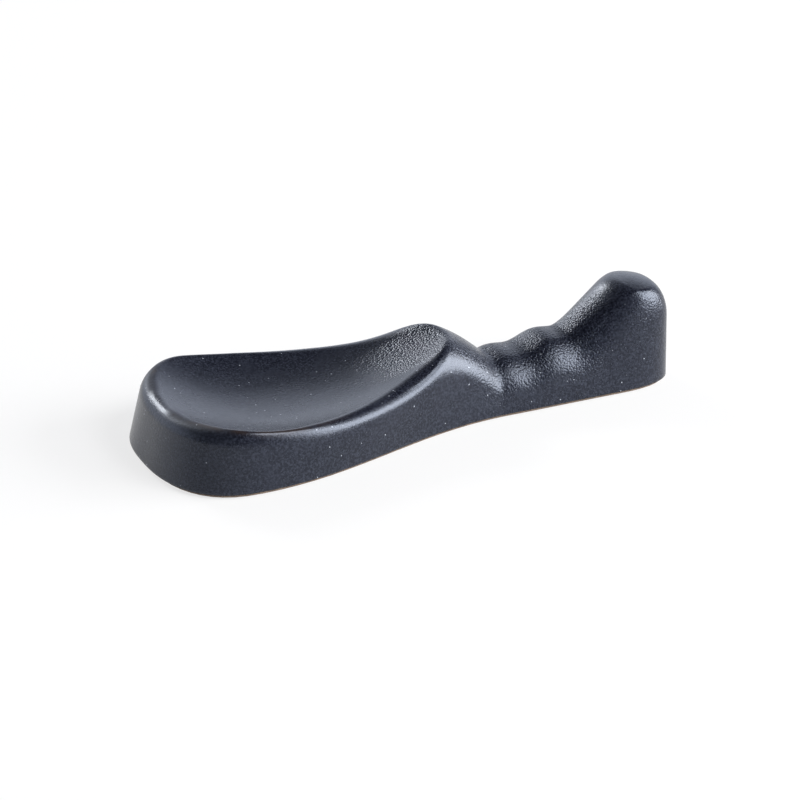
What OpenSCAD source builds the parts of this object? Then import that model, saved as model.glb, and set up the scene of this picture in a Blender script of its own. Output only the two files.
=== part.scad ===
// Spoon and chopstick rest in one piece of glazed stoneware.
// A shallow dish holds the bowl of a spoon, the grooves of the saddle behind its lip hold
// chopsticks, and a knob closes the far end. Millimetres, +Z up, dish towards -X.

/* [Overall] */
// Length from the tip of the dish to the end of the knob
length = 88; // [82:1:110]
// Width across the widest part of the dish
head_w = 34; // [28:0.5:42]
// Height of the knob above the table
height = 16.6; // [15:0.1:20]

/* [Plan] */
// Distance from the tip of the dish to its widest place
widest_x = 13; // [10:0.5:18]
// Distance from the tip to the place where the neck has reached its width
neck_x = 58.5; // [50:0.5:66]
// Width of the neck under the grooves
neck_w = 14.6; // [12:0.2:20]
// Width across the knob
knob_w = 14.2; // [13:0.2:20]
// Length of the rounded end below the knob
tail_l = 11; // [7:0.5:14]

/* [Dish] */
// Distance from the tip to the lowest place of the dish
dish_x = 20; // [17:0.5:24]
// Distance from the lowest place to the rim at the tip
dish_front = 16.8; // [14:0.2:20]
// Distance from the lowest place towards the lip, where the dish has risen as much as at its sides
dish_back = 22.4; // [20:0.2:28]
// Half width of the dish, where it has risen as much
dish_side = 17.4; // [14:0.2:22]
// Height of the lowest place of the dish above the table
dish_floor_z = 6.3; // [4:0.1:8]
// Rise from the lowest place to the rim
dish_rise = 3.7; // [2:0.1:5]
// Distance from the tip to the place where the dish starts to close towards the lip
dish_close_x = 38; // [34:0.5:42]
// Size over which the rim and the lip roll into the dish
rim_blend = 0.8; // [0.4:0.1:1.5]

/* [Lip, saddle and knob] */
// Distance from the tip to the top of the lip's dome
lip_x = 43; // [39:0.5:46]
// Height of the lip's dome
lip_z = 15; // [12:0.2:17]
// Fall of the lip's dome from the middle to the sides of the neck
lip_fall = 1.9; // [1:0.1:2.5]
// Rise of the blank from the lip's dome to the tip, so that the dish sets the height of the rim
tip_rise = 6; // [4:0.5:9]
// Distance from the tip to the foot of the lip, where the first groove lies
groove_x = 57.5; // [55:0.5:60]
// Height of the lip's foot
groove_z = 7.6; // [6.6:0.1:8.6]
// Distance from the tip to the first bump of the saddle
bump_x = 58.6; // [57.6:0.2:60]
// Height of the first bump
bump_z = 8.5; // [7.6:0.1:9.2]
// Distance from bump to bump
bump_pitch = 8; // [6.4:0.1:8.6]
// Rise of the saddle from bump to bump
bump_rise = 1.4; // [0.6:0.1:1.8]
// Depth of the groove between the bumps
bump_h = 0.75; // [0.3:0.05:1.1]
// Fall of the saddle from the middle to its sides
saddle_fall = 1.6; // [0.4:0.05:2.5]
// Distance from the tip to the foot of the knob's slope
knob_foot_x = 69.9; // [68:0.1:71.5]
// Height of the foot of the knob's slope
knob_foot_z = 9.6; // [8.8:0.1:10.6]
// Fall of the knob's slope from the middle to the sides of the neck
knob_slope_fall = 4.2; // [3:0.1:5]
// Distance from the tip to the place where the knob's slope reaches its full height
knob_top_x = 78.8; // [77:0.1:80]
// Distance from the place where the knob's flat top starts to fall to the end
knob_end = 6.6; // [4:0.1:7]
// Fall of the knob's top to the end
knob_end_fall = 1.7; // [0.6:0.1:3]
// Fall of the knob's top from the middle to its sides
knob_side_fall = 1.4; // [0.4:0.1:2]
// Size over which the knob's slope rolls into its top
knob_blend = 1.3; // [0.8:0.1:1.7]
// Size over which the lip and the knob roll into the saddle
foot_blend = 1; // [0.5:0.1:2]

/* [Wall and glaze] */
// Width of the rounded shoulder, where it is widest
shoulder_w = 4; // [3.2:0.1:4.4]
// Height of the rounded shoulder, where it is highest
shoulder_h = 6; // [5:0.1:6.6]
// Thickness of the glaze coat
glaze_t = 0.35; // [0.2:0.05:0.5]
// Height of the bare clay left above the table
bare_h = 0.6; // [0.4:0.1:1.2]
// Step in of the bare foot from the coat's inner face
foot_step = 0.35; // [0.1:0.05:0.8]

/* [Foot] */
// Width of the foot that stands on the table
foot_w = 2.7; // [2:0.1:3.2]
// Depth of the hollow under the foot
recess_h = 1.2; // [0.8:0.1:2]
// Step in of the hollow's wall from the foot to its ceiling
recess_step = 0.5; // [0.2:0.1:0.8]
// Thickness of the glaze on the hollow's ceiling
film_t = 0.3; // [0.2:0.05:0.5]

/* [Hidden] */

// Squareness of the two ends in plan: 2 is an ellipse, more is squarer
head_square = 2.45;
tail_square = 2.7;
// Steepness of the dish from floor to rim: 2 is a plain bowl
dish_power = 2.2;
// How much narrower the dish has got where it meets the groove
dish_close_share = 0.7;

// Places along the length where the wall changes, as shares of the length
station_shares = [0, 0.15, 0.36, 0.48, 0.57, 0.64, 0.73, 0.81, 0.86, 0.93, 1];
// Lean of the wall at those places, inwards for each unit of height
lean_shares = [0.3, 0.08, -0.02, 0.04, 0.1, 0.13, 0.13, 0.12, 0.11, 0.08, 0.01];
// Width and height of the shoulder at those places, as shares of the largest
shoulder_w_shares = [0.48, 0.32, 0.66, 0.8, 0.94, 1, 0.98, 1, 0.66, 0.34, 0.65];
shoulder_h_shares = [0.5, 0.57, 0.56, 0.58, 0.6, 0.6, 0.62, 0.75, 0.95, 0.95, 0.7];

// Where the rings of the top lie between its edge, 1, and the middle line, 0
ring_shares = [1, 0.96, 0.9, 0.8, 0.66, 0.5, 0.33, 0.16];
wall_rings = 2;
shoulder_rings = 4;

// Stations of the half outline: the round head, the long side and the round tail
head_parts = 11;
side_parts = 11;
tail_parts = 9;
groove_parts = 6;
crest_tries = 12;

tail_x = length - tail_l;
knob_x = length - knob_end;
groove_step = bump_pitch/groove_parts;
saddle_from_x = groove_x - 1.5*bump_pitch;
saddle_parts = ceil((tail_x - saddle_from_x)/groove_step);

// A smooth step from 0 to 1, and smooth forms of min and max that round the edge over size r
function ease(t) = t <= 0 ? 0 : t >= 1 ? 1 : (1 - cos(180*t))/2;
function clamp(v, lo, hi) = min(max(v, lo), hi);
function soft_min(a, b, r) =
    let (h = clamp((1 + (b - a)/r)/2, 0, 1))
    b*(1 - h) + a*h - r*h*(1 - h);
function soft_max(a, b, r) = -soft_min(-a, -b, r);

// A smooth curve through the shares at the stations along the length
function slope_at(i, at, shares) =
    i == 0 || i == len(at) - 1 ? 0 : (shares[i + 1] - shares[i - 1])/(at[i + 1] - at[i - 1]);
function along(x, shares) =
    let (at = station_shares*length,
        i = len([for (k = [1:len(at) - 2]) if (at[k] <= x) k]),
        step = at[i + 1] - at[i],
        t = clamp((x - at[i])/step, 0, 1),
        bend = t*pow(1 - t, 2)*slope_at(i, at, shares) - t*t*(1 - t)*slope_at(i + 1, at, shares))
    shares[i] + (shares[i + 1] - shares[i])*t*t*(3 - 2*t) + step*bend;

// Half width of the side at x, before the two ends are rounded
function side_y(x) =
    neck_w/2
    + (head_w - neck_w)/2*(1 - ease((x - widest_x)/(neck_x - widest_x)))
    + (knob_w - neck_w)/2*ease((x - neck_x)/(tail_x - neck_x));

// Half outline of the base from the tip to the end
function head_point(a) =
    let (x = widest_x*(1 - pow(cos(a), 2/head_square)))
    [x, side_y(x)*pow(sin(a), 2/head_square)];
function tail_point(a) =
    let (x = tail_x + tail_l*pow(cos(a), 2/tail_square))
    [x, side_y(x)*pow(sin(a), 2/tail_square)];
half_outline = concat(
    [for (i = [0:head_parts]) head_point(90*i/head_parts)],
    [for (i = [1:side_parts])
        let (x = widest_x + (saddle_from_x - widest_x)*i/side_parts)
        [x, side_y(x)]],
    [for (i = [1:saddle_parts])
        let (x = saddle_from_x + (tail_x - saddle_from_x)*i/saddle_parts)
        [x, side_y(x)]],
    [for (i = [1:tail_parts]) tail_point(90 - 90*i/tail_parts)]);
last = len(half_outline) - 1;
count = 2*last;
// The spokes of the two round ends meet in the first and the last point of the middle line
spine_from = head_parts + 3;
spine_to = last - tail_parts;

// Height of the lip, the saddle and the knob, each a dome that falls to the sides
function side_fall(y, fall) = fall*pow(2*y/neck_w, 2);
function lip_dome(x, y) =
    let (t = max(x - lip_x, 0)/(groove_x - lip_x), tip = max(lip_x - x, 0)/lip_x)
    lip_z + tip_rise*tip - (lip_z - groove_z)*t*t - side_fall(y, lip_fall);
function saddle(x, y) =
    let (t = max(x - bump_x, -bump_pitch/2)/bump_pitch)
    bump_z + bump_rise*t - bump_h*(1 - cos(360*t))/2 - side_fall(y, saddle_fall);
function knob_slope(x, y) =
    knob_foot_z + (height - knob_foot_z)*(x - knob_foot_x)/(knob_top_x - knob_foot_x)
    - side_fall(y, knob_slope_fall);
function knob_crown(x, y) =
    height - knob_end_fall*pow(max(x - knob_x, 0)/knob_end, 2) - side_fall(y, knob_side_fall);
function knob_dome(x, y) = soft_min(knob_slope(x, y), knob_crown(x, y), knob_blend);
function loaf(x, y) =
    let (low = x > bump_x - bump_pitch/2
        ? soft_max(lip_dome(x, y), saddle(x, y), foot_blend) : lip_dome(x, y))
    soft_max(low, knob_dome(x, y), foot_blend);

// Height of the dish's bowl, and of the whole top, where the bowl is cut from the loaf
function dish(x, y) =
    let (run = x < dish_x ? dish_front : dish_back,
        closing = dish_close_share*ease((x - dish_close_x)/(groove_x - dish_close_x)),
        share = norm([(x - dish_x)/run, y/(dish_side*(1 - closing))]))
    dish_floor_z + dish_rise*pow(share, dish_power);
function top(x, y) = soft_min(loaf(x, y), dish(x, y), rim_blend);

// One spoke for each outline point: base point, outward direction, lean, shoulder and crest
function outward(i) =
    i == 0 ? [-1, 0] : i == last ? [1, 0] :
    let (run = half_outline[i + 1] - half_outline[i - 1])
    [-run.y, run.x]/norm(run);
function crest_point(base, out, lean, wide, z) = base - out*(lean*(z - bare_h) + wide);
function crest_z(base, out, lean, wide, z, tries) =
    let (p = crest_point(base, out, lean, wide, z), found = (z + top(p.x, p.y))/2)
    tries == 0 ? found : crest_z(base, out, lean, wide, found, tries - 1);
function spoke(i) =
    let (base = half_outline[i],
        out = outward(i),
        lean = along(base.x, lean_shares),
        wide = shoulder_w*along(base.x, shoulder_w_shares),
        high = shoulder_h*along(base.x, shoulder_h_shares),
        z = crest_z(base, out, lean, wide, dish_floor_z + dish_rise, crest_tries))
    [base, out, lean, wide, high, crest_point(base, out, lean, wide, z)];
half_spokes = [for (i = [0:last]) spoke(i)];
function flip(p) = [p.x, -p.y];
function flipped(s) = [flip(s[0]), flip(s[1]), s[2], s[3], s[4], flip(s[5])];
spokes = concat(half_spokes, [for (i = [last - 1:-1:1]) flipped(half_spokes[i])]);
// Each spoke runs in to its own place on the middle line
function spine_of(k) = clamp(k <= last ? k : count - k, spine_from, spine_to);
function spine_x(k) = half_spokes[spine_of(k)][5].x;

// Rings of one skin of the coat: depth 0 is the outer face and glaze_t the inner one.
// The shoulder turns from 0 at the wall to a quarter turn at the crest.
function lift(p, z) = [p.x, p.y, z];
function shoulder_point(s, turn, depth) =
    let (drop = s[4]*(1 - sin(turn)),
        z = top(s[5].x, s[5].y) - drop,
        inwards = s[2]*(z - bare_h) + depth + (s[3] - depth)*(1 - cos(turn)),
        p = s[0] - s[1]*inwards)
    lift(p, top(p.x, p.y) - drop - depth*sin(turn));
function wall_ring(part, depth) = [for (s = spokes)
    let (foot = lift(s[0] - s[1]*depth, bare_h))
    foot + (shoulder_point(s, 0, depth) - foot)*part/wall_rings];
function shoulder_ring(part, depth) = [for (s = spokes)
    shoulder_point(s, 90*part/shoulder_rings, depth)];
function top_ring(share, depth) = [for (k = [0:count - 1])
    let (edge = spokes[k][5],
        p = [spine_x(k) + (edge.x - spine_x(k))*share, edge.y*share])
    lift(p, top(p.x, p.y) - depth)];
function spine(depth) = [for (k = [spine_from:spine_to])
    lift([spine_x(k), 0], top(spine_x(k), 0) - depth)];
function skin(depth) = concat(
    [for (i = [0:wall_rings - 1]) wall_ring(i, depth)],
    [for (i = [0:shoulder_rings - 1]) shoulder_ring(i, depth)],
    [for (share = ring_shares) top_ring(share, depth)]);
skin_rings = wall_rings + shoulder_rings + len(ring_shares);
function flat_ring(inwards, z) = [for (s = spokes) lift(s[0] - s[1]*inwards, z)];
foot_ring = flat_ring(glaze_t + foot_step, 0);
recess_edge = flat_ring(foot_w, 0);
film_edge = flat_ring(foot_w + recess_step*(1 - film_t/recess_h), recess_h - film_t);
ceiling_edge = flat_ring(foot_w + recess_step, recess_h);

function join(lists) = [for (v = lists) for (p = v) p];
function turned(faces) = [for (f = faces) [f[2], f[1], f[0]]];
// Triangles between two rings of the same count, that start at points a and b
function band(a, b) = join([for (k = [0:count - 1])
    let (n = (k + 1)%count)
    [[a + k, a + n, b + k], [a + n, b + n, b + k]]]);
// Triangles between the last ring, that starts at point a, and the middle line from point b
function crown(a, b) = join([for (k = [0:count - 1])
    let (n = (k + 1)%count, near = b + spine_of(k) - spine_from, next = b + spine_of(n) - spine_from)
    near == next ? [[a + k, a + n, near]] : [[a + k, a + n, near], [a + n, next, near]]]);
// Triangles across a flat ring, from one side to the other
function flat_cap(a) = join([for (i = [0:last - 1])
    let (p = a + i, q = a + i + 1, r = a + count - i - 1, s = a + (count - i)%count)
    i == 0 ? [[p, q, r]] : i == last - 1 ? [[p, q, s]] : [[p, q, r], [p, r, s]]]);

// Faces of a skin whose first ring starts at point a
function skin_faces(a) = concat(
    join([for (i = [0:skin_rings - 2]) band(a + i*count, a + (i + 1)*count)]),
    crown(a + (skin_rings - 1)*count, a + skin_rings*count));

module centred() { translate([-length/2, 0, 0]) children(); }

// The fired clay: its bare foot shows as a thin brown line under the coat
module stoneware_body() {
    rings = concat([ceiling_edge, film_edge, recess_edge, foot_ring], skin(glaze_t));
    points = concat(join(rings), spine(glaze_t));
    under = [for (i = [0:3]) band(i*count, (i + 1)*count)];
    color("#6b5a4c") centred()
        polyhedron(points, turned(concat(turned(flat_cap(0)), join(under), skin_faces(4*count))));
}

// The black glaze over the top and the sides
module glaze_coat() {
    outer = concat(join(skin(0)), spine(0));
    inner = concat(join(skin(glaze_t)), spine(glaze_t));
    color("#31343d") centred()
        polyhedron(concat(outer, inner), turned(concat(
            skin_faces(0), turned(skin_faces(len(outer))), band(len(outer), 0))));
}

// The glaze on the ceiling of the hollow under the foot
module underside_glaze() {
    color("#2b2d34") centred()
        polyhedron(join([film_edge, ceiling_edge]), turned(concat(
            turned(flat_cap(0)), band(0, count), flat_cap(count))));
}

stoneware_body();
glaze_coat();
underside_glaze();
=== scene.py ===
"""Looks of the glazed rest for a spoon and chopsticks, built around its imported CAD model. Metres, +Z up."""
import math

import bpy
import numpy as np
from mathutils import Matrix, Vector, noise


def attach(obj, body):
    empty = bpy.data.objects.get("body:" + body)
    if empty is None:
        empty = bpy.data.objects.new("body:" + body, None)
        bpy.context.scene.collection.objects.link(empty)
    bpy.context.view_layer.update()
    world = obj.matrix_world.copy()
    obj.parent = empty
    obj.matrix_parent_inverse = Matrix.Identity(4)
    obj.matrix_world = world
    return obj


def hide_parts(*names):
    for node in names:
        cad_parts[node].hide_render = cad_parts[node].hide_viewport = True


MM = 0.001

# Overall size and plan, measured from the tip of the dish as in the CAD model
LENGTH = 88 * MM
HEAD_W = 34 * MM
HEIGHT = 16.6 * MM
WIDEST_X = 13 * MM
NECK_X = 58.5 * MM
NECK_W = 14.6 * MM
KNOB_W = 14.2 * MM
TAIL_L = 11 * MM
HEAD_SQUARE = 2.45
TAIL_SQUARE = 2.7

# Dish
DISH_X = 20 * MM
DISH_FRONT = 16.8 * MM
DISH_BACK = 22.4 * MM
DISH_SIDE = 17.4 * MM
DISH_FLOOR_Z = 6.3 * MM
DISH_RISE = 3.7 * MM
DISH_POWER = 2.2
DISH_CLOSE_X = 38 * MM
DISH_CLOSE_SHARE = 0.7
RIM_BLEND = 0.8 * MM

# Lip, saddle and knob
LIP_X = 43 * MM
LIP_Z = 15 * MM
LIP_FALL = 1.9 * MM
TIP_RISE = 6 * MM
GROOVE_X = 57.5 * MM
GROOVE_Z = 7.6 * MM
BUMP_X = 58.6 * MM
BUMP_Z = 8.5 * MM
BUMP_PITCH = 8 * MM
BUMP_RISE = 1.4 * MM
BUMP_H = 0.75 * MM
SADDLE_FALL = 1.6 * MM
KNOB_FOOT_X = 69.9 * MM
KNOB_FOOT_Z = 9.6 * MM
KNOB_SLOPE_FALL = 4.2 * MM
KNOB_TOP_X = 78.8 * MM
KNOB_END = 6.6 * MM
KNOB_END_FALL = 1.7 * MM
KNOB_SIDE_FALL = 1.4 * MM
KNOB_BLEND = 1.3 * MM
FOOT_BLEND = 1 * MM

TAIL_X = LENGTH - TAIL_L
KNOB_X = LENGTH - KNOB_END

# Wall and glaze, which stops short of the table
SHOULDER_W = 4 * MM
SHOULDER_H = 6 * MM
GLAZE_T = 0.35 * MM
BARE_H = 0.6 * MM

# Places along the length where the wall changes, and its lean and shoulder there
STATION_SHARES = [0, 0.15, 0.36, 0.48, 0.57, 0.64, 0.73, 0.81, 0.86, 0.93, 1]
LEAN_SHARES = [0.3, 0.08, -0.02, 0.04, 0.1, 0.13, 0.13, 0.12, 0.11, 0.08, 0.01]
SHOULDER_W_SHARES = [0.48, 0.32, 0.66, 0.8, 0.94, 1, 0.98, 1, 0.66, 0.34, 0.65]
SHOULDER_H_SHARES = [0.5, 0.57, 0.56, 0.58, 0.6, 0.6, 0.62, 0.75, 0.95, 0.95, 0.7]

# Depth and length of the slight unevenness of the glaze's surface
UNEVEN_H = 0.08 * MM
UNEVEN_L = 7 * MM

# Parts of the half outline at the head, along the side and at the tail
HEAD_PARTS = 80
SIDE_PARTS = 230
TAIL_PARTS = 60

# Points of the half outline from the widest place to where the middle line of the top begins
SPINE_LAG = 20

# Rings of the glaze's outer and inner face, and how the rings of the top crowd towards its edge
WALL_RINGS = 26
SHOULDER_RINGS = 12
COVER_RINGS = 62
INNER_WALL_RINGS = 3
INNER_SHOULDER_RINGS = 4
INNER_COVER_RINGS = 16
COVER_CROWDING = 1.15

# Rounds in which the height of the shoulder's crest is found
CREST_ROUNDS = 14

# A number that only keeps a division from failing
TINY = 1e-12

# Where the glaze has run thin on the rim of the dish: on which ring and how far along, and how that fades
THIN_RING = WALL_RINGS + 9
THIN_SPREAD = 2
THIN_END_X = 30 * MM
THIN_FADE = 12 * MM

# Where the rim at the tip is dull, and its one bright spot
DULL_RING = WALL_RINGS + 8
DULL_SPREAD = 3.5
DULL_END_X = 10 * MM
DULL_FADE = 3 * MM
SPOT_Y = 1 * MM
SPOT_HALF = 2.4 * MM

# Colours of the glaze, and the tint and level of what it mirrors
BLACK = (0, 0, 0)
WHITE = (1, 1, 1)
GLAZE_DARK = (0.0015, 0.002, 0.006)
GLAZE_LIGHT = (0.0045, 0.005, 0.0105)
GRIT_COLOUR = (0.02, 0.0225, 0.03)
THIN_COLOUR = (0.026, 0.018, 0.016, 1)
SPECK_COLOUR = (0.32, 0.34, 0.38, 1)
MIRROR_TINT = (0.78, 0.85, 1, 1)
MIRROR_LEVEL = 0.5

# Colours and finish of the bare clay
CLAY_DARK = (0.13, 0.09, 0.065)
CLAY_LIGHT = (0.26, 0.19, 0.14)
CLAY_ROUGH = 0.85
CLAY_BUMP = 0.6
CLAY_DEPTH = 0.05 * MM

# Noises: scale, detail and roughness
CLOUD_NOISE = (140.0, 4.0, 0.6)
GRIT_NOISE = (2900.0, 2.0, 0.7)
PATCH_NOISE = (170.0, 2.0, 0.5)
FINE_NOISE = (2600.0, 2.0, 0.6)
CLAY_NOISE = (900.0, 5.0, 0.65)

# Stops of the colour ramps: the place on the ramp and the colour there
GLAZE_STOPS = [(0.3, GLAZE_DARK), (0.7, GLAZE_LIGHT)]
GRIT_STOPS = [(0.42, BLACK), (0.64, GRIT_COLOUR)]
CLAY_STOPS = [(0.3, CLAY_DARK), (0.7, CLAY_LIGHT)]

# Pale specks: cells in a metre, how far a speck reaches in its cell, and which cells have one
SPECK_SCALE = 650.0
SPECK_STOPS = [(0.05, WHITE), (0.09, BLACK)]
SPECK_CHANCE_STOPS = [(0.3, BLACK), (0.34, WHITE)]

# Roughness of the glaze at its glossiest and its dullest, and how much is added where the rim is dull
GLOSSY_ROUGH = 0.23
CLOUDY_ROUGH = 0.31
DULL_RISE = 0.4

# Grain of the glaze, as bump: cells in a metre, how round a cell's pebble is, depths and strength
COARSE_SCALE = 3100.0
COARSE_POWER = 2
COARSE_DEPTH = 0.083 * MM
FINE_DEPTH = 0.035 * MM
FINE_BUMP = 0.65

# Bands: two places or levels, and the shares below and above them, with a smooth change between
THIN_PATCHES = (0.42, 0.6, 0.15, 1)
GRAIN_FROM_LIP_X = (-12 * MM, 1 * MM, 0.25, 1)
GRAIN_OFF_MIDDLE_Y = (4.2 * MM, 6.2 * MM, 1, 0.1)
GRAIN_ON_SADDLE_X = (5 * MM, 13 * MM, 0, 0.75)
GRAIN_UP_WALL_Z = (2 * MM, 8 * MM, 0.45, 1)
GRAIN_ON_KNOB_X = (25 * MM, 34 * MM, 1, 0.7)
GRAIN_ON_CROWN_Z = (14 * MM, 16.2 * MM, 1, 0.4)

# Camera: the photograph's viewing angle, its distance, and where the object stands in the 800 pixel frame
FRAME_PX = 800
CAMERA_AZIMUTH = -24.5
CAMERA_ELEVATION = 24.2
CAMERA_DISTANCE = 0.5377
CAMERA_NEAR = 0.01
FOCAL_PX = 3480
AIM_Z = 6 * MM
OFFSET_X_PX = 8.7
OFFSET_Y_PX = -20.3
SENSOR_MM = 36

# Floor: how much of it is plain white where the camera or a reflection sees it, and which part of that
# the other rays see
FLOOR_SIZE = 6
FLOOR_COLOUR = (0.905, 0.89, 0.88, 1)
FLOOR_WHITE_SHARE = 0.72
FLOOR_WHITE_ELSEWHERE = 0.5

# Room: its light from the floor up, from the front to the back, and its level
ROOM_LOW = (0.81, 0.87, 1)
ROOM_MIDDLE = (0.15, 0.16, 0.18)
ROOM_HIGH = (0.06, 0.065, 0.08)
ROOM_FRONT = (0.2, 0.2, 0.2)
ROOM_UP_STOPS = [(0.0, ROOM_LOW), (0.42, ROOM_LOW), (0.6, ROOM_MIDDLE), (1.0, ROOM_HIGH)]
ROOM_BACK_STOPS = [(0.0, ROOM_FRONT), (0.6, WHITE)]
ROOM_LEVEL = 1.36

# Sockets of a colour mix and of a shader mix, by number because sockets there share their names
MIX_FIRST = 6
MIX_SECOND = 7
MIX_RESULT = 2
SHADER_FIRST = 1
SHADER_SECOND = 2

# Where a new stop of a colour ramp stands before it gets its own place
NEW_STOP = 0.5

# Lamps, with a touch of blue as in the photograph: place, width and height, and watts
LAMP_COLOUR = (0.97, 0.985, 1)
LAMPS = {
    "right_softbox": ((0.83, -0.48, 0.32), (0.86, 0.5), 18.5),
    "top_softbox": ((0.44, -0.52, 0.73), (0.4, 0.4), 5.2),
    "back_softbox": ((-0.2, 0.86, 0.47), (0.3, 0.3), 3.7),
}


def ease(t):
    """A smooth rise from 0 to 1."""
    t = np.clip(t, 0, 1)
    return (1 - np.cos(np.pi * t)) / 2


def soft_min(a, b, r):
    """The smaller of two heights, rounded over this difference where they meet."""
    h = np.clip((1 + (b - a) / r) / 2, 0, 1)
    return b * (1 - h) + a * h - r * h * (1 - h)


def soft_max(a, b, r):
    """The larger of two heights, rounded in the same way."""
    return -soft_min(-a, -b, r)


def along(x, shares):
    """A smooth curve through the shares at the stations along the length."""
    at, value = np.array(STATION_SHARES) * LENGTH, np.array(shares, float)
    slope = np.zeros_like(value)
    slope[1:-1] = (value[2:] - value[:-2]) / (at[2:] - at[:-2])
    x = np.clip(x, at[0], at[-1])
    i = np.clip(np.searchsorted(at, x, side="right") - 1, 0, len(at) - 2)
    step = at[i + 1] - at[i]
    t = (x - at[i]) / step
    rise = t * t * (3 - 2 * t)
    bend = step * (t * (1 - t) ** 2 * slope[i] - t * t * (1 - t) * slope[i + 1])
    return value[i] + (value[i + 1] - value[i]) * rise + bend


def side_y(x):
    """Half width of the side, before the two ends are rounded."""
    head = (HEAD_W - NECK_W) / 2 * (1 - ease((x - WIDEST_X) / (NECK_X - WIDEST_X)))
    knob = (KNOB_W - NECK_W) / 2 * ease((x - NECK_X) / (TAIL_X - NECK_X))
    return NECK_W / 2 + head + knob


def side_fall(y, fall):
    """How far a dome has fallen at this distance from the middle, with its full fall at the neck's side."""
    return fall * (2 * y / NECK_W) ** 2


def loaf(x, y):
    """Height of the lip, the saddle and the knob, each a dome that falls to the sides."""
    t = np.maximum(x - LIP_X, 0) / (GROOVE_X - LIP_X)
    tip = np.maximum(LIP_X - x, 0) / LIP_X
    lip = LIP_Z + TIP_RISE * tip - (LIP_Z - GROOVE_Z) * t * t - side_fall(y, LIP_FALL)
    t = np.maximum(x - BUMP_X, -BUMP_PITCH / 2) / BUMP_PITCH
    saddle = BUMP_Z + BUMP_RISE * t - BUMP_H * (1 - np.cos(2 * np.pi * t)) / 2 - side_fall(y, SADDLE_FALL)
    slope = KNOB_FOOT_Z + (HEIGHT - KNOB_FOOT_Z) * (x - KNOB_FOOT_X) / (KNOB_TOP_X - KNOB_FOOT_X)
    slope -= side_fall(y, KNOB_SLOPE_FALL)
    end = np.maximum(x - KNOB_X, 0) / KNOB_END
    crown = HEIGHT - KNOB_END_FALL * end**2 - side_fall(y, KNOB_SIDE_FALL)
    knob = soft_min(slope, crown, KNOB_BLEND)
    low = np.where(x > BUMP_X - BUMP_PITCH / 2, soft_max(lip, saddle, FOOT_BLEND), lip)
    return soft_max(low, knob, FOOT_BLEND)


def dish(x, y):
    """Height of the dish's bowl, which closes to a round end at the lip."""
    run = np.where(x < DISH_X, DISH_FRONT, DISH_BACK)
    closing = ease((x - DISH_CLOSE_X) / (GROOVE_X - DISH_CLOSE_X))
    side = DISH_SIDE * (1 - DISH_CLOSE_SHARE * closing)
    share = np.hypot((x - DISH_X) / run, y / side)
    return DISH_FLOOR_Z + DISH_RISE * share**DISH_POWER


def top(x, y):
    """Height of the whole top, with the dish cut into the lip."""
    return soft_min(loaf(x, y), dish(x, y), RIM_BLEND)


def half_outline(head_parts, side_parts, tail_parts):
    """Half outline of the base, from the tip of the dish to the end below the knob."""
    a = np.linspace(0, np.pi / 2, head_parts + 1)
    head_x = WIDEST_X * (1 - np.cos(a) ** (2 / HEAD_SQUARE))
    head = np.column_stack([head_x, side_y(head_x) * np.sin(a) ** (2 / HEAD_SQUARE)])
    side_x = np.linspace(WIDEST_X, TAIL_X, side_parts + 1)[1:-1]
    side = np.column_stack([side_x, side_y(side_x)])
    a = np.linspace(np.pi / 2, 0, tail_parts + 1)
    tail_x = TAIL_X + TAIL_L * np.cos(a) ** (2 / TAIL_SQUARE)
    tail = np.column_stack([tail_x, side_y(tail_x) * np.sin(a) ** (2 / TAIL_SQUARE)])
    points = np.vstack([head, side, tail])
    points[[0, -1], 1] = 0
    return points


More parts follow.
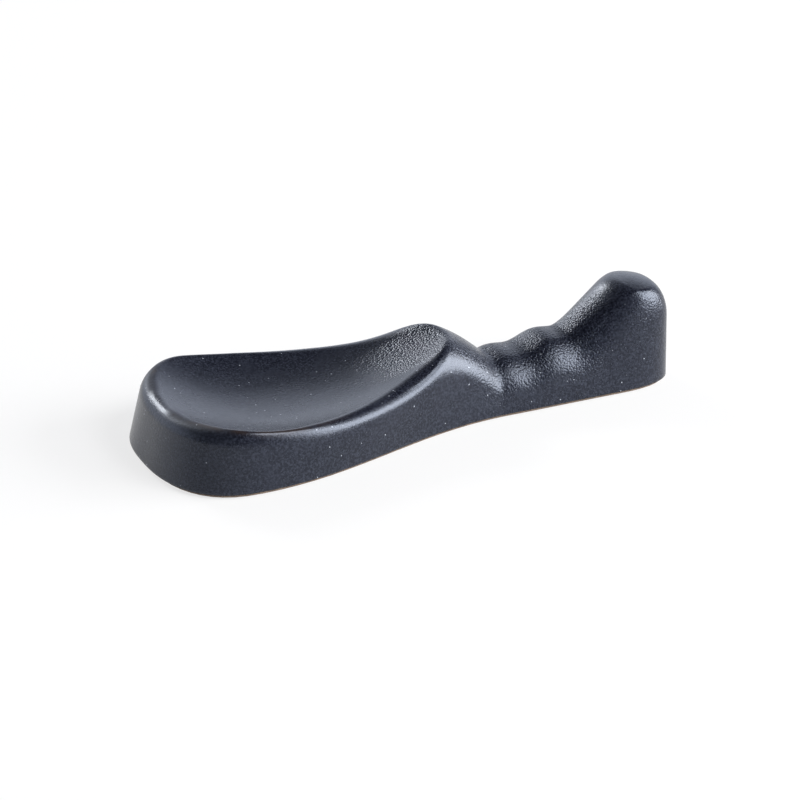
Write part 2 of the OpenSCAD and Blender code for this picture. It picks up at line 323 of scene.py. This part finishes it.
class Skin:
    """Rings of points round the object, from the glaze's lower edge up to the middle line of the top."""

    def __init__(self, head_parts, side_parts, tail_parts):
        base = half_outline(head_parts, side_parts, tail_parts)
        run = np.gradient(base, axis=0)
        out = np.column_stack([-run[:, 1], run[:, 0]]) / np.linalg.norm(run, axis=1)[:, None]
        out[0], out[-1] = (-1, 0), (1, 0)
        lean = along(base[:, 0], LEAN_SHARES)
        wide = SHOULDER_W * along(base[:, 0], SHOULDER_W_SHARES)
        high = SHOULDER_H * along(base[:, 0], SHOULDER_H_SHARES)
        # The crest's place depends on its height and its height on its place, so both are found in rounds
        z = np.full(len(base), DISH_FLOOR_Z + DISH_RISE)
        for _ in range(CREST_ROUNDS):
            crest = base - out * (lean * (z - BARE_H) + wide)[:, None]
            z = (z + top(crest[:, 0], crest[:, 1])) / 2
        # Round the whole outline: along one side, and back along its mirror image
        last = len(base) - 1
        at = np.concatenate([np.arange(last + 1), np.arange(last - 1, 0, -1)])
        flip = np.ones((len(at), 1))
        flip[last + 1:] = -1
        mirror = np.hstack([np.ones_like(flip), flip])
        self.base, self.out, self.crest = base[at] * mirror, out[at] * mirror, crest[at] * mirror
        self.lean, self.wide, self.high = lean[at], wide[at], high[at]
        self.crest_z = top(self.crest[:, 0], self.crest[:, 1])
        self.count = len(at)
        spine_at = np.clip(at, head_parts + SPINE_LAG, last - tail_parts)
        self.spine_x = crest[spine_at, 0]

    def shoulder_ring(self, turn, depth):
        """The ring where the shoulder has turned this far, from 0 at the wall to a quarter turn on top."""
        drop = self.high * (1 - math.sin(turn))
        inwards = self.lean * (self.crest_z - drop - BARE_H) + depth
        inwards += (self.wide - depth) * (1 - math.cos(turn))
        p = self.base - self.out * inwards[:, None]
        return np.column_stack([p, top(p[:, 0], p[:, 1]) - drop - depth * math.sin(turn)])

    def wall(self, parts, depth):
        """Rings up the wall, from the glaze's lower edge to just below the shoulder."""
        upper = self.shoulder_ring(0, depth)
        lower = np.column_stack([self.base - self.out * depth, np.full(self.count, BARE_H)])
        return [lower + (upper - lower) * i / parts for i in range(parts)]

    def shoulder(self, parts, depth):
        """Rings round the rolled shoulder, from the wall to just short of its crest."""
        return [self.shoulder_ring(math.pi / 2 * i / parts, depth) for i in range(parts)]

    def cover(self, shares, depth):
        """Rings over the top, at these shares of the way from its middle line out to the crest."""
        rings = []
        for share in shares:
            x = self.spine_x + (self.crest[:, 0] - self.spine_x) * share
            y = self.crest[:, 1] * share
            rings.append(np.column_stack([x, y, top(x, y) - depth]))
        return rings

    def rings(self, wall, shoulder, cover, depth=0.0):
        """All the rings of one face of the glaze, this far under the outer one."""
        shares = 1 - np.linspace(0, 1, cover + 1)[:-1] ** COVER_CROWDING
        return np.array(self.wall(wall, depth) + self.shoulder(shoulder, depth) + self.cover(shares, depth))


def band_faces(a, b, count):
    """Quads between two rings, by the number of the first point of each."""
    k = np.arange(count)
    n = (k + 1) % count
    return np.column_stack([a + k, a + n, b + n, b + k])


def cap_faces(a, count):
    """Quads and two triangles across a ring, from one side to the mirrored one."""
    last = count // 2
    faces = []
    for i in range(last):
        p, q, r, s = a + i, a + i + 1, a + count - i - 1, a + (count - i) % count
        faces.append([p, q, r] if i == 0 else [p, q, s] if i == last - 1 else [p, q, r, s])
    return faces


def new_mesh(name, points, faces):
    """A smooth-shaded object in the scene."""
    mesh = bpy.data.meshes.new(name)
    mesh.from_pydata([tuple(p) for p in points], [], faces)
    mesh.validate()
    mesh.update()
    for polygon in mesh.polygons:
        polygon.use_smooth = True
    piece = bpy.data.objects.new(name, mesh)
    bpy.context.scene.collection.objects.link(piece)
    return piece


def in_row_frame(points):
    """Points measured from the tip of the dish, moved to the shared frame with its origin in the middle."""
    return points - np.array([LENGTH / 2, 0, 0])


def uneven(rings):
    """The points of the rings, pressed in by the slight unevenness of a hand-finished surface."""
    along_ring = np.roll(rings, -1, axis=1) - np.roll(rings, 1, axis=1)
    across = np.gradient(rings, axis=0)
    out = np.cross(along_ring, across)
    out /= np.maximum(np.linalg.norm(out, axis=2, keepdims=True), TINY)
    # The first point is at the tip, where outwards is towards -X, so it tells the directions' sign
    points, inwards = rings.reshape(-1, 3), -out.reshape(-1, 3) * np.sign(out[0, 0] @ (-1, 0, 0))
    depth = [UNEVEN_H * (1 + noise.noise(Vector(p) / UNEVEN_L)) / 2 for p in points]
    return points + inwards * np.array(depth)[:, None]


def near_ring(rings, ring, spread):
    """A share that is 1 on one ring and fades over the rings beside it."""
    off = (np.arange(len(rings))[:, None] - ring) / spread
    return np.exp(-off**2)


def thin_share(rings):
    """How much of the glaze has run off the rim of the dish, at each point of the rings."""
    off_lip = np.clip((THIN_END_X - rings[:, :, 0]) / THIN_FADE, 0, 1)
    return (near_ring(rings, THIN_RING, THIN_SPREAD) * off_lip).ravel()


def dull_share(rings):
    """How dull the glaze is on the rim at the tip, away from its one bright spot."""
    at_tip = ease((DULL_END_X - rings[:, :, 0]) / DULL_FADE)
    off_spot = ease((np.abs(rings[:, :, 1] - SPOT_Y) - SPOT_HALF) / DULL_FADE)
    return (near_ring(rings, DULL_RING, DULL_SPREAD) * at_tip * off_spot).ravel()


def glaze_skin():
    """The glaze over the top and the sides, slightly uneven in the mesh."""
    skin = Skin(HEAD_PARTS, SIDE_PARTS, TAIL_PARTS)
    outer = skin.rings(WALL_RINGS, SHOULDER_RINGS, COVER_RINGS)
    inner = skin.rings(INNER_WALL_RINGS, INNER_SHOULDER_RINGS, INNER_COVER_RINGS, GLAZE_T)
    outer_points, inner_points = uneven(outer), inner.reshape(-1, 3)
    points = np.vstack([outer_points, inner_points])
    count, start = skin.count, len(outer_points)
    faces = []
    for i in range(len(outer) - 1):
        faces += band_faces(i * count, (i + 1) * count, count).tolist()
    faces += cap_faces((len(outer) - 1) * count, count)
    for i in range(len(inner) - 1):
        faces += band_faces(start + (i + 1) * count, start + i * count, count).tolist()
    faces += [f[::-1] for f in cap_faces(start + (len(inner) - 1) * count, count)]
    faces += band_faces(start, 0, count).tolist()
    piece = new_mesh("glaze_skin", in_row_frame(points), faces)
    for name, share in (("thin_glaze", thin_share), ("dull_glaze", dull_share)):
        amount = piece.data.attributes.new(name, "FLOAT", "POINT")
        amount.data.foreach_set("value", np.concatenate([share(outer), np.zeros(len(inner_points))]))
    return piece


def nodes_of(owner):
    """The emptied node tree of a material or of the world."""
    owner.use_nodes = True
    owner.node_tree.nodes.clear()
    return owner.node_tree


def feed(tree, socket, value):
    """Put a link or a plain value into a socket."""
    if isinstance(value, bpy.types.NodeSocket):
        tree.links.new(value, socket)
    else:
        socket.default_value = value


def add(tree, kind, **inputs):
    """A node with links or plain values in its named sockets."""
    node = tree.nodes.new(kind)
    for key, value in inputs.items():
        feed(tree, node.inputs[key.replace("_", " ")], value)
    return node


def combine(tree, operation, *values):
    """The result of one calculation with links and plain numbers."""
    node = tree.nodes.new("ShaderNodeMath")
    node.operation = operation
    for socket, value in zip(node.inputs, values):
        feed(tree, socket, value)
    return node.outputs["Value"]


def mix_colour(tree, share, first, second, blend="MIX"):
    """Two colours mixed by a share."""
    node = tree.nodes.new("ShaderNodeMix")
    node.data_type = "RGBA"
    node.blend_type = blend
    feed(tree, node.inputs["Factor"], share)
    feed(tree, node.inputs[MIX_FIRST], first)
    feed(tree, node.inputs[MIX_SECOND], second)
    return node.outputs[MIX_RESULT]


def ramp(tree, source, stops):
    """A colour that changes with a value, by its stops."""
    node = add(tree, "ShaderNodeValToRGB", Fac=source)
    elements = node.color_ramp.elements
    while len(elements) < len(stops):
        elements.new(NEW_STOP)
    for element, (at, colour) in zip(elements, stops):
        element.position = at
        element.color = (*colour, 1)
    return node.outputs["Color"]


def band(tree, source, low, high, below, above):
    """A smooth change from one value to another between two places."""
    node = add(tree, "ShaderNodeMapRange", From_Min=low, From_Max=high, To_Min=below, To_Max=above)
    node.interpolation_type = "SMOOTHSTEP"
    feed(tree, node.inputs["Value"], source)
    return node.outputs["Result"]


def noisy(tree, place, scale, detail, roughness):
    """Smooth noise over the surface."""
    node = add(tree, "ShaderNodeTexNoise", Vector=place, Scale=scale, Detail=detail, Roughness=roughness)
    return node.outputs["Fac"]


def attribute(tree, name):
    """The value that the mesh keeps under this name."""
    node = tree.nodes.new("ShaderNodeAttribute")
    node.attribute_name = name
    return node.outputs["Fac"]


def glaze_colour(tree, place, cloud):
    """Cloudy blue-black with grit, brown where it has run thin on the rim, and a few pale specks."""
    grit = ramp(tree, noisy(tree, place, *GRIT_NOISE), GRIT_STOPS)
    dusty = mix_colour(tree, 1, ramp(tree, cloud, GLAZE_STOPS), grit, "ADD")
    patches = band(tree, noisy(tree, place, *PATCH_NOISE), *THIN_PATCHES)
    thin = combine(tree, "MULTIPLY", attribute(tree, "thin_glaze"), patches)
    worn = mix_colour(tree, thin, dusty, THIN_COLOUR)
    cell = add(tree, "ShaderNodeTexVoronoi", Vector=place, Scale=SPECK_SCALE)
    dot = ramp(tree, cell.outputs["Distance"], SPECK_STOPS)
    chance = add(tree, "ShaderNodeSeparateColor", Color=cell.outputs["Color"])
    chosen = ramp(tree, chance.outputs["Red"], SPECK_CHANCE_STOPS)
    return mix_colour(tree, combine(tree, "MULTIPLY", dot, chosen), worn, SPECK_COLOUR)


def grain_share(tree, place):
    """How strong the coarse grain is: most on the middle of the lip and the saddle, faint in the dish."""
    split = add(tree, "ShaderNodeSeparateXYZ", Vector=place).outputs
    from_lip = band(tree, split["X"], *GRAIN_FROM_LIP_X)
    middle = band(tree, combine(tree, "ABSOLUTE", split["Y"]), *GRAIN_OFF_MIDDLE_Y)
    saddle = band(tree, split["X"], *GRAIN_ON_SADDLE_X)
    share = combine(tree, "MAXIMUM", combine(tree, "MULTIPLY", from_lip, middle), saddle)
    share = combine(tree, "MULTIPLY", share, band(tree, split["Z"], *GRAIN_UP_WALL_Z))
    knob = band(tree, split["X"], *GRAIN_ON_KNOB_X)
    crown = band(tree, split["Z"], *GRAIN_ON_CROWN_Z)
    return combine(tree, "MULTIPLY", share, combine(tree, "MULTIPLY", knob, crown))


def glaze_grain(tree, place):
    """Bump of the pebbled grain, with fine grain all over it."""
    cell = add(tree, "ShaderNodeTexVoronoi", Vector=place, Scale=COARSE_SCALE)
    pebble = combine(tree, "POWER", cell.outputs["Distance"], COARSE_POWER)
    coarse = add(tree, "ShaderNodeBump", Strength=grain_share(tree, place), Height=pebble)
    coarse.inputs["Distance"].default_value = COARSE_DEPTH
    coarse.invert = True
    fine = add(tree, "ShaderNodeBump", Strength=FINE_BUMP, Distance=FINE_DEPTH)
    feed(tree, fine.inputs["Height"], noisy(tree, place, *FINE_NOISE))
    feed(tree, fine.inputs["Normal"], coarse.outputs["Normal"])
    return fine.outputs["Normal"]


def glaze_material():
    """Satin blue-black glaze."""
    material = bpy.data.materials.new("black_glaze")
    tree = nodes_of(material)
    place = tree.nodes.new("ShaderNodeTexCoord").outputs["Object"]
    cloud = noisy(tree, place, *CLOUD_NOISE)
    rough = add(tree, "ShaderNodeMapRange", Value=cloud, To_Min=GLOSSY_ROUGH, To_Max=CLOUDY_ROUGH)
    dull = combine(tree, "MULTIPLY_ADD", attribute(tree, "dull_glaze"), DULL_RISE, rough.outputs["Result"])
    shader = add(tree, "ShaderNodeBsdfPrincipled", Roughness=dull, Normal=glaze_grain(tree, place))
    shader.inputs["Specular IOR Level"].default_value = MIRROR_LEVEL
    shader.inputs["Specular Tint"].default_value = MIRROR_TINT
    feed(tree, shader.inputs["Base Color"], glaze_colour(tree, place, cloud))
    add(tree, "ShaderNodeOutputMaterial", Surface=shader.outputs["BSDF"])
    return material


def clay_material():
    """Bare fired clay, dry and slightly rough."""
    material = bpy.data.materials.new("stoneware")
    tree = nodes_of(material)
    place = tree.nodes.new("ShaderNodeTexCoord").outputs["Object"]
    cloud = noisy(tree, place, *CLAY_NOISE)
    bump = add(tree, "ShaderNodeBump", Strength=CLAY_BUMP, Distance=CLAY_DEPTH, Height=cloud)
    shader = add(tree, "ShaderNodeBsdfPrincipled", Roughness=CLAY_ROUGH, Normal=bump.outputs["Normal"])
    feed(tree, shader.inputs["Base Color"], ramp(tree, cloud, CLAY_STOPS))
    add(tree, "ShaderNodeOutputMaterial", Surface=shader.outputs["BSDF"])
    return material


def assign(piece, material):
    """Dress a piece in this material alone."""
    piece.data.materials.clear()
    piece.data.materials.append(material)


def make_floor():
    """A pale floor that keeps the shadow and is mostly plain white to the camera and to reflections."""
    bpy.ops.mesh.primitive_plane_add(size=FLOOR_SIZE, location=(0, 0, 0))
    floor = bpy.context.object
    floor.name = "floor"
    material = bpy.data.materials.new("floor")
    tree = nodes_of(material)
    path = tree.nodes.new("ShaderNodeLightPath").outputs
    seen = FLOOR_WHITE_ELSEWHERE
    for ray in ("Is Camera Ray", "Is Glossy Ray", "Is Transmission Ray"):
        seen = combine(tree, "MAXIMUM", path[ray], seen)
    pale = add(tree, "ShaderNodeBsdfDiffuse", Color=FLOOR_COLOUR)
    white = tree.nodes.new("ShaderNodeEmission")
    mix = add(tree, "ShaderNodeMixShader", Fac=combine(tree, "MULTIPLY", seen, FLOOR_WHITE_SHARE))
    feed(tree, mix.inputs[SHADER_FIRST], pale.outputs["BSDF"])
    feed(tree, mix.inputs[SHADER_SECOND], white.outputs["Emission"])
    add(tree, "ShaderNodeOutputMaterial", Surface=mix.outputs["Shader"])
    assign(floor, material)


def make_world():
    """A room with a white backdrop low down that is dim above and in front."""
    world = bpy.data.worlds.new("room")
    bpy.context.scene.world = world
    tree = nodes_of(world)
    direction = tree.nodes.new("ShaderNodeTexCoord").outputs["Generated"]
    split = add(tree, "ShaderNodeSeparateXYZ", Vector=direction).outputs
    upwards = ramp(tree, split["Z"], ROOM_UP_STOPS)
    backwards = ramp(tree, split["Y"], ROOM_BACK_STOPS)
    light = mix_colour(tree, 1, upwards, backwards, "MULTIPLY")
    room = add(tree, "ShaderNodeBackground", Color=light, Strength=ROOM_LEVEL)
    add(tree, "ShaderNodeOutputWorld", Surface=room.outputs["Background"])


def softbox(name, place, size, watts):
    """A soft lamp that faces the object and that the camera doesn't see."""
    lamp = bpy.data.lights.new(name, "AREA")
    lamp.shape = "RECTANGLE"
    lamp.size, lamp.size_y = size
    lamp.energy = watts
    lamp.color = LAMP_COLOUR
    box = bpy.data.objects.new(name, lamp)
    box.location = place
    box.rotation_mode = "QUATERNION"
    box.rotation_quaternion = (-Vector(place)).to_track_quat("-Z", "Y")
    box.visible_camera = False
    bpy.context.scene.collection.objects.link(box)


def make_camera():
    """The camera of the photograph's view, aimed a little above the floor's middle."""
    camera = bpy.data.cameras.new("camera")
    camera.sensor_width = SENSOR_MM
    camera.lens = FOCAL_PX / FRAME_PX * SENSOR_MM
    camera.shift_x = -OFFSET_X_PX / FRAME_PX
    camera.shift_y = OFFSET_Y_PX / FRAME_PX
    camera.clip_start = CAMERA_NEAR
    a, e = math.radians(CAMERA_AZIMUTH), math.radians(CAMERA_ELEVATION)
    back = Vector((math.sin(a) * math.cos(e), -math.cos(a) * math.cos(e), math.sin(e)))
    eye = bpy.data.objects.new("camera", camera)
    eye.location = Vector((0, 0, AIM_Z)) + back * CAMERA_DISTANCE
    eye.rotation_mode = "QUATERNION"
    eye.rotation_quaternion = (-back).to_track_quat("-Z", "Y")
    bpy.context.scene.collection.objects.link(eye)
    bpy.context.scene.camera = eye


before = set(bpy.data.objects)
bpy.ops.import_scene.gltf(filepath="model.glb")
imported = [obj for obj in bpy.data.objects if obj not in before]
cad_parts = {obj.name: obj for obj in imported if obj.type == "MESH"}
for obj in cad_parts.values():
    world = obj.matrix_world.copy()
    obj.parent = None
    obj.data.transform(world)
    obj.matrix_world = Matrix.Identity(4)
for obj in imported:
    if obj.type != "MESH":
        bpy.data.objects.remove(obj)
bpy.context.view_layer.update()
bpy.context.scene.view_settings.view_transform = "Standard"
make_camera()

glaze = glaze_skin()
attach(glaze, "root")
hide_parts("glaze_coat")
assign(glaze, glaze_material())
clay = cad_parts["stoneware_body"]
assign(clay, clay_material())
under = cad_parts["underside_glaze"]
assign(under, glaze.data.materials[0])

make_floor()
make_world()
for name, (place, size, watts) in LAMPS.items():
    softbox(name, place, size, watts)
